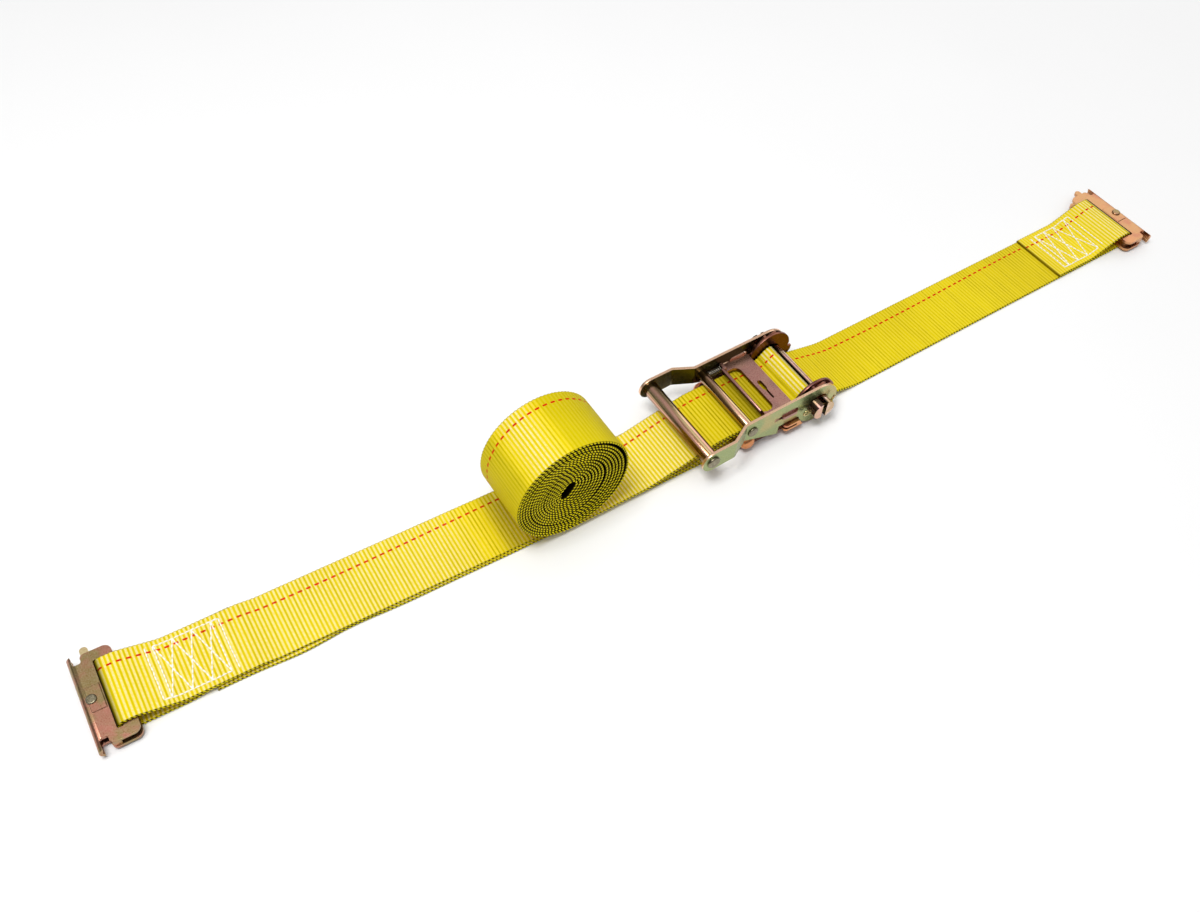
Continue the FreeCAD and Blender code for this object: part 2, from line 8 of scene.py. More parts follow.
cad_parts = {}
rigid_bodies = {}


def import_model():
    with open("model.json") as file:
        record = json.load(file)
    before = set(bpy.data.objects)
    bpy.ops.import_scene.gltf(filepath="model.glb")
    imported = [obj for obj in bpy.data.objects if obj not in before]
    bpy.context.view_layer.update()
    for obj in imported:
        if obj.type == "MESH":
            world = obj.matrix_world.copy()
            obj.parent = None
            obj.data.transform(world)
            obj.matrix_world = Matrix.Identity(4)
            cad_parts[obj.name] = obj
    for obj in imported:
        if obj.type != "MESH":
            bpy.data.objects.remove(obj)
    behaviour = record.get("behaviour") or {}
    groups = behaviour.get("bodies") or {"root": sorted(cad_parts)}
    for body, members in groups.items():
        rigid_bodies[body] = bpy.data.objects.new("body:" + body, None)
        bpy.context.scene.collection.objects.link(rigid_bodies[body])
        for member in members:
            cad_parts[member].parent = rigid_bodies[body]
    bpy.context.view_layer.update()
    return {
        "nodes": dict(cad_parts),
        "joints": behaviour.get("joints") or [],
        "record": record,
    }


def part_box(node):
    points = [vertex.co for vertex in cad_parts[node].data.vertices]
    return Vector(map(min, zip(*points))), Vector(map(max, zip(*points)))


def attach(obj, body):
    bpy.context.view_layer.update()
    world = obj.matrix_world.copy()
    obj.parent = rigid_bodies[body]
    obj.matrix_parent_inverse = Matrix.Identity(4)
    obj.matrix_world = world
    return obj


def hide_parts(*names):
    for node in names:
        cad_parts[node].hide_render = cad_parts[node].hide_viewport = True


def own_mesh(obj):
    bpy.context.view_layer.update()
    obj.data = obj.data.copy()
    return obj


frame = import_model()

# Lengths along the straps are in millimetres here, as in the CAD model, and become metres in the meshes.
MM = 0.001

# ---- webbing ------------------------------------------------------------------------
HALF_WIDTH = 25.4
HALF_THICK = 0.85
GAP = 0.3
LAYER = 2 * HALF_THICK + GAP
PLY1 = GAP + HALF_THICK
PLY2 = PLY1 + LAYER
PLY3 = PLY2 + LAYER
RIB = 2.9                 # length of one rib of the weave
RIB_RELIEF = 0.05         # how far the faces rise and fall with the ribs
SCALLOP = 0.22            # how far the selvedge waves in and out with the ribs
TRACER_Y = 15.9           # the red tracer's distance from the middle, towards +Y
TRACER_DRIFT = 1.4        # how far it wanders from there
DASH = 6.0                # from one of its dashes to the next

# ---- places in the CAD model -----------------------------------------------------------
joint_at = {joint["name"]: joint.get("pos_m") for joint in frame["joints"]}
SPOOL_Z = joint_at["spool_turn"][2] / MM
ROD_R = 7.3
SLOT_HALF = 2.0
TURN_R = 12.0             # the webbing inside this radius turns with the spool
ANCHOR_X = -62.0
ANCHOR_Z = 9.0
ANCHOR_LOOP_R = 6.95
LEFT_FOLD_X = -543.5
RIGHT_FOLD_X = 378.0
LEFT_ANGLE = math.radians(-2.0)
RIGHT_ANGLE = math.radians(0.85)
FIT_THICK = 9.4
PANEL_RISE = 0.5          # of the raised panel on a fitting's upper sheet
SLOT_OUTER = 15.0         # from a fitting's fold to the outer edge of its slot
SLOT_INNER = 19.5         # and to the inner edge
FIT_TOP = PLY1 + HALF_THICK + GAP + FIT_THICK + PANEL_RISE
OVER = FIT_TOP + GAP + HALF_THICK
THROUGH = SLOT_INNER - GAP - HALF_THICK        # the long strap lies at the slot's inner edge
LEFT_THROUGH = SLOT_OUTER + GAP + HALF_THICK   # the fixed strap lies at the slot's outer edge
ROLL_X = -210.0
ROLL_R = 45.3 - HALF_THICK    # to the middle of the outermost turn
PITCH = 2.45              # from one turn of the roll to the next
CORE_SHIFT = np.array([-6.0, 2.6])    # from the roll's middle to the middle of its flat core
CORE_HALF = 5.0           # half the length of that core
CORE_TILT = math.radians(54)
CORE_GAP = 3.3            # half its width, to the middle of the innermost webbing
# Where the roll is wound loosely: which turn, how far round it and over what spread in degrees, and
# the extra room.
LOOSE_SPOTS = (
    (1, 235, 55, 1.3), (3, 150, 60, 0.8), (5, 40, 70, 0.7), (7, 290, 60, 0.9), (10, 120, 50, 0.6),
)
STEP = RIB / 4            # between points along a strap
ROD_ROOM = 0.2            # between a spool rod and the webbing round it
SLOT_LEAN = 0.1285        # how far the webbing leans in the spool's slot, in radians
TAIL_Z = 19.15            # the tail's height where it comes to the spool

# ---- light and shade on the webbing ------------------------------------------------------
# Each pair is the middle and width of a smooth hump, along x unless it says otherwise.
# Painted light and shade: each hump below marks where the webbing's colour is painted lighter or darker.
ROLL_SHADE = (ROLL_X - 40, 9)
ROLL_SIDE_SHADE = (ROLL_X - 52, 22)
PAWL_SHADE = (-44, 17)
FOLD_LIGHT = (352, 16)
BACK_SWAY = (-395, 45)
HANDLE_SHADE_X = -112     # where the tail begins to darken under the handle
HANDLE_SHADE_FADE = 14
SLOT_SHADE_WIDTH = 2.8
ROLL_LIGHT = (27, 17)     # by the lean of the roll's face, in degrees
ROLL_GROOVE_SHADE = ((58, 14), (6, 7))    # where its grooves are darkest, likewise

# ---- stitching ---------------------------------------------------------------------------
STITCH = 3.6              # length of one stitch
HOLE = 0.12               # from a stitch's end to the middle of its needle hole
WOBBLE = 0.18             # how far a needle hole is out of line
THREAD_R = 0.60
THREAD_RISE = 0.36
THREAD_DIP = 0.10

rng = np.random.default_rng(7)


# ---- shader nodes ------------------------------------------------------------------------
class Shader:
    """A material's node tree, with short ways to add nodes and join them."""

    def __init__(self, name):
        self.material = bpy.data.materials.new(name)
        self.material.use_nodes = True
        self.tree = self.material.node_tree
        self.tree.nodes.clear()
        self.output = self.tree.nodes.new("ShaderNodeOutputMaterial")
        self.surface = self.tree.nodes.new("ShaderNodeBsdfPrincipled")
        self.tree.links.new(self.surface.outputs[0], self.output.inputs["Surface"])

    def put(self, socket, value):
        if isinstance(value, bpy.types.NodeSocket):
            self.tree.links.new(value, socket)
        else:
            socket.default_value = value

    def add(self, kind, settings=None, **inputs):
        made = self.tree.nodes.new("ShaderNode" + kind)
        for key, value in (settings or {}).items():
            setattr(made, key, value)
        for key, value in inputs.items():
            self.put(made.inputs[key.replace("_", " ")], value)
        return made

    def math(self, operation, *values):
        made = self.tree.nodes.new("ShaderNodeMath")
        made.operation = operation
        for socket, value in zip(made.inputs, values):
            self.put(socket, value)
        return made.outputs[0]

    def wave(self, value, period):
        """Cosine of a length over a period, from 0 to 1."""
        turn = self.math("MULTIPLY", value, 2 * math.pi / period)
        return self.math("MULTIPLY_ADD", self.math("COSINE", turn), 0.5, 0.5)

    def step(self, value, low, high, start=0.0, end=1.0):
        made = self.add("MapRange", {"interpolation_type": "SMOOTHSTEP"})
        for key, number in (("From Min", low), ("From Max", high), ("To Min", start), ("To Max", end)):
            made.inputs[key].default_value = number
        self.put(made.inputs["Value"], value)
        return made.outputs["Result"]

    def mix(self, share, first, second):
        made = self.tree.nodes.new("ShaderNodeMix")
        made.data_type = "RGBA"
        self.put(made.inputs[0], share)
        self.put(made.inputs[6], first)
        self.put(made.inputs[7], second)
        return made.outputs[2]

    def attribute(self, name):
        return self.add("Attribute", {"attribute_name": name}).outputs["Fac"]

    def place(self, scale):
        """Position in the frame's own coordinates, stretched by a scale along each axis."""
        found = self.add("TexCoord").outputs["Object"]
        return self.add("Mapping", Vector=found, Scale=scale).outputs[0]

    def noise(self, vector, scale, detail=3.0, rough=0.5, distortion=0.0):
        made = self.add("TexNoise", Vector=vector, Scale=scale, Detail=detail, Roughness=rough)
        made.inputs["Distortion"].default_value = distortion
        return made.outputs["Fac"]

    def bump(self, height, strength, distance, below=None):
        made = self.add("Bump", Height=height, Strength=strength, Distance=distance)
        if below is not None:
            self.tree.links.new(below, made.inputs["Normal"])
        return made.outputs[0]


def rgb(red, green, blue):
    """An sRGB colour given from 0 to 255, as the linear colour that a shader takes."""
    linear = []
    for value in (red, green, blue):
        v = value / 255
        linear.append(v / 12.92 if v <= 0.04045 else ((v + 0.055) / 1.055) ** 2.4)
    return (*linear, 1.0)


def webbing_material():
    """Yellow ribbed polyester webbing with a dashed red tracer and beaded selvedges. The attributes
    that strap() fills say where each point is on the webbing and how much painted light and painted shade
    it gets there."""
    s = Shader("webbing")
    along = s.attribute("along")
    across = s.attribute("across")
    edge = s.attribute("selvedge")
    rib = s.wave(along, RIB)
    half = s.math("FLOOR", s.math("DIVIDE", along, RIB / 2))
    brick = s.math("MULTIPLY", s.math("MODULO", half, 2.0), 0.55)
    yarn = s.wave(s.math("ADD", across, brick), 1.1)
    threads = s.wave(s.math("ADD", along, s.math("MULTIPLY", across, 0.5)), 0.42)
    cloud = s.noise(s.place((1, 1, 1)), 40.0, 4.0, 0.55)
    patch = s.noise(s.place((1, 1, 1)), 9.0, 2.0, 0.5)
    fleck = s.noise(s.place((1, 1, 1)), 900.0, 2.0, 0.6)

    painted_light = s.attribute("painted_light")
    groove_shade = s.attribute("groove_shade")
    line = s.add("CombineXYZ", X=s.math("MULTIPLY", along, 0.16), Y=s.math("MULTIPLY", across, 0.01))
    uneven = s.noise(line.outputs[0], 1.0, 3.0, 0.6)
    groove = s.math("MULTIPLY", s.step(rib, 0.02, 0.34, 1.0, 0.0), s.step(yarn, 0.10, 0.70, 1.0, 0.30))
    groove = s.math("MULTIPLY", groove, s.step(uneven, 0.38, 0.60, 0.35, 1.0))
    seam = s.math("MULTIPLY", s.step(yarn, 0.0, 0.30, 1.0, 0.0), 0.22)
    dark = s.math("MAXIMUM", groove, seam)
    dark = s.math("MULTIPLY", dark, s.step(cloud, 0.25, 0.75, 0.70, 1.0))
    # Painted highlight: the rib crowns turn near white where the painted light is high.
    crown = s.math("MULTIPLY", s.step(rib, 0.35, 0.85), s.step(yarn, 0.10, 0.70, 0.30, 1.0))
    crown = s.math("MULTIPLY", crown, s.step(fleck, 0.30, 0.65, 0.45, 1.0))
    crown = s.math("MULTIPLY", crown, s.step(painted_light, 0.0, 1.0, 0.06, 1.0))
    # Painted light and shade: the body tone is picked by the painted light, the deepest tone where it is
    # lowest.
    deepest = s.mix(s.step(patch, 0.35, 0.65), rgb(206, 186, 0), rgb(216, 196, 0))
    deep = s.mix(s.step(patch, 0.35, 0.65), rgb(232, 206, 2), rgb(242, 217, 6))
    light = s.mix(s.step(patch, 0.35, 0.65), rgb(228, 202, 0), rgb(234, 209, 2))
    body = s.mix(s.step(painted_light, 0.0, 0.20), deepest, deep)
    body = s.mix(s.step(painted_light, 0.20, 0.85), body, light)
    colour = s.mix(crown, body, rgb(252, 242, 196))
    # The weave's own dark grooves, darkened further by the painted shade that each point gets.
    colour = s.mix(s.math("MULTIPLY", dark, groove_shade), colour, rgb(60, 56, 0))

    wander = s.math("SINE", s.math("MULTIPLY", along, 0.019))
    course = s.math("MULTIPLY_ADD", wander, TRACER_DRIFT, TRACER_Y)
    dash = s.math("FRACT", s.math("DIVIDE", along, DASH))
    dash = s.math("MULTIPLY", s.step(dash, 0.03, 0.13), s.step(dash, 0.58, 0.68, 1.0, 0.0))
    off = s.math("ABSOLUTE", s.math("SUBTRACT", across, course))
    tracer = s.math("MULTIPLY", dash, s.step(off, 0.55, 0.85, 1.0, 0.0))
    red = s.mix(s.step(fleck, 0.3, 0.7), rgb(186, 8, 0), rgb(224, 26, 2))
    colour = s.mix(tracer, colour, red)

    # Beaded selvedge: the bright beads are the yarn's own; the near-black between beads and towards the
    # faces is painted shade in the gaps between turns.
    depth = s.attribute("depth")
    bead = s.wave(s.math("MULTIPLY_ADD", depth, 0.8, along), RIB)
    inner = s.step(s.math("ABSOLUTE", depth), 0.45, 1.0, 1.0, 0.0)
    bead = s.math("MULTIPLY", s.step(bead, 0.20, 0.58), inner)
    bead = s.math("MULTIPLY", bead, s.step(cloud, 0.30, 0.65, 0.80, 1.0))
    side = s.mix(bead, rgb(10, 10, 0), rgb(255, 236, 20))
    # Painted shade: near-black between turns of the roll, and painted shadows at the slots, beside the
    # roll and under the pawl.
    colour = s.mix(s.attribute("painted_shade"), colour, rgb(20, 18, 0))
    colour = s.mix(s.step(edge, 0.05, 0.60, 0.0, 0.97), colour, side)
    colour = s.mix(s.math("MULTIPLY", s.attribute("melt"), 0.8), colour, rgb(92, 76, 6))

    height = s.math("MULTIPLY_ADD", rib, 0.55, s.math("MULTIPLY", yarn, 0.35))
    height = s.math("MULTIPLY_ADD", threads, 0.10, height)
    height = s.math("MULTIPLY_ADD", fleck, 0.12, height)
    s.put(s.surface.inputs["Base Color"], colour)
    s.put(s.surface.inputs["Roughness"], s.step(fleck, 0.2, 0.8, 0.46, 0.68))
    s.surface.inputs["Specular IOR Level"].default_value = 0.06
    s.put(s.surface.inputs["Normal"], s.bump(height, 0.60, 0.00030))
    return s.material


def thread_material():
    """White twisted sewing thread."""
    s = Shader("stitching")
    twist = s.wave(s.attribute("along"), 0.45)
    fleck = s.noise(s.place((1, 1, 1)), 1400.0, 2.0, 0.6)
    colour = s.mix(s.math("MULTIPLY", twist, 0.6), rgb(252, 250, 236), rgb(255, 255, 255))
    colour = s.mix(s.step(fleck, 0.4, 0.9, 0.0, 0.12), colour, rgb(246, 238, 190))
    s.put(s.surface.inputs["Base Color"], colour)
    s.surface.inputs["Roughness"].default_value = 0.5
    s.surface.inputs["Sheen Weight"].default_value = 0.3
    s.put(s.surface.inputs["Normal"], s.bump(twist, 0.5, 0.00010))
    return s.material


def plated(name, tones, patch=22.0, stretch=(1, 1, 1), roughness=(0.24, 0.40), grain=0.25, shade_facing=None,
           shade=(66, 58, 30), edge=None):
    """Yellow-zinc plated steel: drifting tones, fine grain, light rubbing and small scratches.
    A shading direction, or "inward" for towards the middle, picks the faces that look that way, and these
    get painted shade in the darker colour, shade. edge is the brighter colour of a sheared edge, on a
    sheet that faces sideways."""
    s = Shader(name)
    drift = s.noise(s.place(stretch), patch, 2.5, 0.55, 0.4)
    second = s.noise(s.place(tuple(2.3 * v for v in stretch)), patch, 2.0, 0.5, 0.2)
    fine = s.noise(s.place((1, 1, 1)), 1300.0, 3.0, 0.65)
    scratch = s.noise(s.place((30, 1.2, 30)), 60.0, 2.0, 0.7, 1.5)
    colour = s.mix(s.step(drift, 0.38, 0.56), tones[0], tones[1])
    colour = s.mix(s.step(second, 0.50, 0.68, 0.0, 0.85), colour, tones[2])
    colour = s.mix(s.step(fine, 0.35, 0.75, 0.0, grain), colour, tones[3])
    normal = s.add("NewGeometry").outputs["Normal"]
    sideways = s.add("SeparateXYZ", Vector=normal).outputs[1]
    # Painted shade on the faces that look the chosen way: inward, or along a given direction.
    if shade_facing == "inward":
        where = s.add("SeparateXYZ", Vector=s.place((1, 1, 1))).outputs
        facing = s.math("MULTIPLY", s.math("MULTIPLY", sideways, s.math("SIGN", where[1])), -1.0)
        colour = s.mix(s.step(facing, 0.45, 0.85, 0.0, 0.88), colour, rgb(*shade))
    elif shade_facing is not None:
        toward = s.add("VectorMath", {"operation": "DOT_PRODUCT"})
        s.put(toward.inputs[0], normal)
        toward.inputs[1].default_value = shade_facing
        colour = s.mix(s.step(toward.outputs["Value"], 0.45, 0.85, 0.0, 0.88), colour, rgb(*shade))
    if edge is not None:
        colour = s.mix(s.step(s.math("ABSOLUTE", sideways), 0.30, 0.60, 0.9, 0.0), colour, rgb(*edge))
    s.put(s.surface.inputs["Base Color"], colour)
    s.surface.inputs["Metallic"].default_value = 1.0
    rough = s.step(fine, 0.25, 0.8, roughness[0], roughness[1])
    s.put(s.surface.inputs["Roughness"], s.math("ADD", rough, s.step(scratch, 0.6, 0.72, 0.0, 0.12)))
    grainy = s.bump(fine, 0.30, 0.00006)
    s.put(s.surface.inputs["Normal"], s.bump(scratch, 0.10, 0.00004, grainy))
    return s.material


def wire_material():
    s = Shader("spring_wire")
    fine = s.noise(s.place((1, 1, 1)), 900.0, 3.0, 0.6)
    s.put(s.surface.inputs["Base Color"], s.mix(fine, rgb(120, 112, 100), rgb(186, 180, 168)))
    s.surface.inputs["Metallic"].default_value = 1.0
    s.put(s.surface.inputs["Roughness"], s.step(fine, 0.2, 0.8, 0.28, 0.45))
    return s.material


def floor_material():
    s = Shader("floor")
    mottle = s.noise(s.place((1, 1, 1)), 3.0, 2.0, 0.5)
    s.put(s.surface.inputs["Base Color"], s.mix(mottle, (0.90, 0.90, 0.90, 1), (0.94, 0.94, 0.94, 1)))
    s.surface.inputs["Roughness"].default_value = 0.9
    s.surface.inputs["Specular IOR Level"].default_value = 0.1
    return s.material


# ---- lines that a strap follows ---------------------------------------------------------
def arc_line(corners, step):
    """Points along straight runs joined by tangent arcs, from corners given as (x, z, arc radius)."""
    points = [np.array(corners[0][:2], float)]

    def run_to(end):
        start = points[-1]
        count = max(1, math.ceil(np.linalg.norm(end - start) / step))
        for i in range(1, count + 1):
            points.append(start + (end - start) * i / count)

    for before, here, after in zip(corners, corners[1:], corners[2:]):
        corner = np.array(here[:2], float)
        into = corner - np.array(before[:2], float)
        out = np.array(after[:2], float) - corner
        into /= np.linalg.norm(into)
        out /= np.linalg.norm(out)
        turn = math.atan2(into[0] * out[1] - into[1] * out[0], into @ out)
        radius = here[2]
        reach = radius * math.tan(abs(turn) / 2)
        run_to(corner - into * reach)
        side = np.array([-into[1], into[0]]) * math.copysign(1, turn)
        centre = corner - into * reach + side * radius
        count = max(2, math.ceil(abs(turn) * radius / min(step, 0.3 * radius)))
        for i in range(1, count + 1):
            angle = abs(turn) * i / count
            points.append(centre + radius * (into * math.sin(angle) - side * math.cos(angle)))
    run_to(np.array(corners[-1][:2], float))
    return np.array(points)


def lengths(points):
    """Distance along a line at each of its points."""
    return np.concatenate([[0.0], np.cumsum(np.linalg.norm(np.diff(points, axis=0), axis=1))])


def directions(points):
    """Unit tangent at each point of a line."""
    along = np.gradient(points, axis=0)
    return along / np.linalg.norm(along, axis=1)[:, None]


def fixed_strap_corners():
    """From the end under the left fitting's fold, over the fitting, to the anchor and back."""
    slot_x = LEFT_FOLD_X + LEFT_THROUGH
    top, low = ANCHOR_Z + ANCHOR_LOOP_R, ANCHOR_Z - ANCHOR_LOOP_R
    right = ANCHOR_X + ANCHOR_LOOP_R
    return [
        (-441, PLY2, 0), (-472, PLY2, 12), (-482, PLY1, 12),
        (slot_x, PLY1, 1.5), (slot_x, OVER, 3.4),
        (slot_x + 12, OVER, 12), (-488, PLY3, 25), (-436, PLY3, 20), (-424, PLY2, 20),
        (-108, PLY2, 40), (-72, top, 12),
        (right, top, ANCHOR_LOOP_R - 0.01), (right, low, ANCHOR_LOOP_R - 0.01),
        (-76, PLY1, 30), (-467, PLY1, 0),
    ]


def long_strap_corners():
    """From under the roll, over the left rod, through the slot and out to the right fitting."""
    arc = ROD_R + ROD_ROOM + HALF_THICK
    top, low = SPOOL_Z + arc, SPOOL_Z - arc
    across = arc * math.tan(SLOT_LEAN)
    rise = arc * math.tan(math.radians(22.5))
    meet = -SLOT_HALF - rise - (top - TAIL_Z)
    slot_x = RIGHT_FOLD_X - THROUGH
    return [
        (ROLL_X, PLY3, 0), (-146, PLY3, 60), (-84, TAIL_Z, 60), (meet, TAIL_Z, 6),
        (-SLOT_HALF - rise, top, arc), (-across, top, 1.0), (across, low, 1.0),
        (14, low, 30), (50, PLY1, 60),
        (slot_x, PLY1, 1.5), (slot_x, OVER, 1.5),
        (slot_x - 12, OVER, 12), (slot_x - 42, PLY2, 25), (277, PLY2, 0),
    ]


def roll_line():
    """The rolled part, from its flat core out to the lowest point, where it runs on into the tail."""
    per_turn = 150
    turns = 18                # more than fit: the line is cut off at the core
    angle = np.linspace(0, 2 * math.pi * turns, per_turn * turns + 1)
    pitch = PITCH + 0.10 * np.sin(0.53 * angle + 0.6) + 0.06 * np.sin(1.37 * angle + 2.0)
    for turn, degrees, spread, extra in LOOSE_SPOTS:
        middle = 2 * math.pi * turn + math.radians(degrees)
        pitch += extra * bump(angle, middle, math.radians(spread))
    radius = np.empty_like(angle)
    first = angle <= 2 * math.pi
    radius[first] = ROLL_R - pitch[first] * angle[first] / (2 * math.pi)
    for i in range(first.sum(), len(angle)):
        radius[i] = radius[i - per_turn] - pitch[i]
    keep = np.argmax(radius < CORE_GAP)
    radius, angle = radius[:keep, None], angle[:keep]
    inward = 1 - radius / ROLL_R
    out = np.stack([-np.sin(angle), -np.cos(angle)], 1)
    flat = np.array([math.cos(CORE_TILT), math.sin(CORE_TILT)])
    along_core = CORE_HALF * np.tanh(3 * (out @ flat))[:, None] * flat
    points = (ROLL_X, PLY3 + ROLL_R) + out * radius + (along_core + CORE_SHIFT) * inward
    s = lengths(points)
    even = np.linspace(s[-1], 0, math.ceil(s[-1] / STEP) + 1)
    return np.stack([np.interp(even, s, points[:, 0]), np.interp(even, s, points[:, 1])], 1)


# ---- webbing meshes ------------------------------------------------------------------------
def ring():
    """The webbing's cross-section: (offset from the middle, y, share of selvedge)."""
    flat = np.linspace(-HALF_WIDTH + 1.2, HALF_WIDTH - 1.2, 11)
    top = [(1.0, y, 0.0) for y in flat]
    bend = [(0.93, 0.55, 0.25), (0.70, 0.18, 0.85), (0.30, 0.0, 1.0)]
    far = [(off, HALF_WIDTH - back, edge) for off, back, edge in bend]
    far += [(-off, y, edge) for off, y, edge in far[::-1]]
    bottom = [(-1.0, y, 0.0) for y in flat[::-1]]
    near = [(off, -y, edge) for off, y, edge in far[::-1]]
    return top + far + bottom + near


def strap(name, points, painted_light, groove_shade, painted_shade=None, start=0.0, shift=None, turn=None, trim=(None, None),
          melt=(False, False)):
    """Webbing whose middle follows points in the XZ plane. turn is (x, angle) of a turn about Z.
    At each point, the two arrays after points say how much painted light the webbing and its rib crowns
    get and how dark its grooves are painted, and shift moves the webbing along Y. The next holds painted
    shade: a row for the face on the line's right and one for the face on its left, saying how dark each is
    painted, up to 1 between turns of the roll. trim holds the radii about the spool that the first and
    last section are cut to, and melt whether each end is heat sealed."""
    way = directions(points)
    normal = np.stack([-way[:, 1], way[:, 0]], 1)
    s = lengths(points)
    along = s + start
    section = ring()
    count = len(section)
    shift = np.zeros(len(points)) if shift is None else shift
    cosine = np.cos(2 * math.pi * along / RIB)
    verts = np.empty((len(points), count, 3))
    for j, (off, y, edge) in enumerate(section):
        thick = off * HALF_THICK + math.copysign(RIB_RELIEF, off) * cosine * (abs(off) > 0.5)
        flat = points + normal * np.atleast_1d(thick)[:, None]
        verts[:, j, 0] = flat[:, 0]
        verts[:, j, 2] = flat[:, 1]
        verts[:, j, 1] = y + shift + math.copysign(SCALLOP, y) * edge * cosine
    for end, radius in ((0, trim[0]), (-1, trim[1])):
        if radius is not None:
            for j in range(count):
                spot = verts[end, j, [0, 2]] - (0.0, SPOOL_Z)
                b = spot @ way[end]
                root = math.sqrt(max(0.0, b * b - spot @ spot + radius * radius))
                step = min((-b + root, -b - root), key=abs)
                verts[end, j, [0, 2]] += way[end] * step
    if turn is not None:
        turn_flat(verts, turn)
    faces = []
    for i in range(len(points) - 1):
        a, b = i * count, (i + 1) * count
        for j in range(count):
            k = (j + 1) % count
            faces.append((a + j, a + k, b + k, b + j))
    faces.append(tuple(reversed(range(count))))
    faces.append(tuple(range((len(points) - 1) * count, len(points) * count)))
    mesh = bpy.data.meshes.new(name)
    mesh.from_pydata((verts.reshape(-1, 3) * MM).tolist(), [], faces)
    mesh.update()
    fade = np.zeros(len(points))
    for wanted, gone in ((melt[0], s), (melt[1], s[-1] - s)):
        if wanted:
            fade = np.maximum(fade, np.clip(1.6 - gone, 0, 1))
    fill(mesh, "along", np.repeat(along, count))
    fill(mesh, "across", np.tile([y for _, y, _ in section], len(points)))
    fill(mesh, "selvedge", np.tile([edge for _, _, edge in section], len(points)))
    fill(mesh, "depth", np.tile([off for off, _, _ in section], len(points)))
    fill(mesh, "melt", np.repeat(fade, count))
    fill(mesh, "painted_light", np.repeat(painted_light, count))
    fill(mesh, "groove_shade", np.repeat(groove_shade, count))
    # Painted shade on the faces, kept off the selvedges.
    shaded = np.zeros((len(points), count))
    if painted_shade is not None:
        for j, (off, _, edge) in enumerate(section):
            shaded[:, j] = painted_shade[off > 0] * (edge < 0.3)
    fill(mesh, "painted_shade", shaded.ravel())
    mesh.shade_smooth()
    sharpen_ends(mesh, count, len(points))
    made = bpy.data.objects.new(name, mesh)
    bpy.context.scene.collection.objects.link(made)
    made.data.materials.append(MATERIALS["webbing"])
    return made


def turn_flat(verts, turn):
    """Turns vertices about Z in place. turn is the pivot's x and the angle."""
    pivot, angle = turn
    x, y = verts[..., 0] - pivot, verts[..., 1].copy()
    verts[..., 0] = pivot + x * math.cos(angle) - y * math.sin(angle)
    verts[..., 1] = x * math.sin(angle) + y * math.cos(angle)


def sharpen_ends(mesh, count, rings):
    """Hard edges round both cut ends, so that the faces beside them shade as flat webbing."""
    last = (rings - 1) * count
    sharp = []
    for edge in mesh.edges:
        a, b = edge.vertices
        sharp.append(max(a, b) < count or min(a, b) >= last)
    mesh.attributes.new("sharp_edge", "BOOLEAN", "EDGE").data.foreach_set("value", sharp)


def fill(mesh, name, values):
    """A named number at each vertex, for the material to read."""
    mesh.attributes.new(name, "FLOAT", "POINT").data.foreach_set("value", np.asarray(values, np.float32))


def bump(x, middle, width):
    """A smooth hump of height 1 about a middle."""
    return np.exp(-((x - middle) / width) ** 2)


def cut_index(points, radius, right_side):
    """The first or last place where a line is inside a radius about the spool."""
    inside = np.flatnonzero(np.hypot(points[:, 0], points[:, 1] - SPOOL_Z) < radius)
    return inside[-1] if right_side else inside[0]


# ---- stitching --------------------------------------------------------------------------
def stitch_lines(x0, x1):
    """One thread's course over a stitch box from x0 to x1: rows at both ends, edges and crossings."""
    side = 20.5
    inner = 5.0
    a, b = x0 + inner, x1 - inner
    near = [(a + (b - a) * i / 3, -side) for i in range(4)]
    far = [(x, side) for x, _ in near]
    return [
        [(x0, -side), (x0, side)], [(x1, -side), (x1, side)],
        [near[0], near[3]], [far[0], far[3]], [near[0], far[0]], [near[3], far[3]],
        [far[0], near[1], far[2], near[3]], [near[0], far[1], near[2], far[3]],
        [(x0, -side), near[0]], [(x1, side), far[3]],
    ]


def add_stitch(verts, faces, along, surface, origin, way, ends, drifts):
    """One stitch as a tube that rises out of the webbing and dips back into it. ends are its places
    along a row that starts at origin and goes way, and drifts its distances to the row's side."""
    sides, steps = 6, 5
    base = len(verts)
    for k in range(steps):
        share = k / (steps - 1)
        d = ends[0] + (ends[1] - ends[0]) * share
        drift = drifts[0] * (1 - share) + drifts[1] * share
        x = origin[0] + way[0] * d - way[1] * drift
        y = origin[1] + way[1] * d + way[0] * drift
        rise = THREAD_RISE * math.sin(math.pi * share) - THREAD_DIP
        radius = THREAD_R * (0.55 + 0.45 * math.sin(math.pi * share))
        z, up = surface(x)
        for j in range(sides):
            angle = 2 * math.pi * j / sides
            lift = rise + radius * math.cos(angle)
            sideways = radius * math.sin(angle)
            verts.append((
                x - way[1] * sideways + up[0] * lift,
                y + way[0] * sideways,
                z + up[1] * lift,
            ))
            along.append(d)
    for k in range(steps - 1):
        for j in range(sides):
            a = base + k * sides
            n = (j + 1) % sides
            faces.append((a + j, a + n, a + sides + n, a + sides + j))
    faces.append(tuple(base + j for j in reversed(range(sides))))
    faces.append(tuple(base + (steps - 1) * sides + j for j in range(sides)))


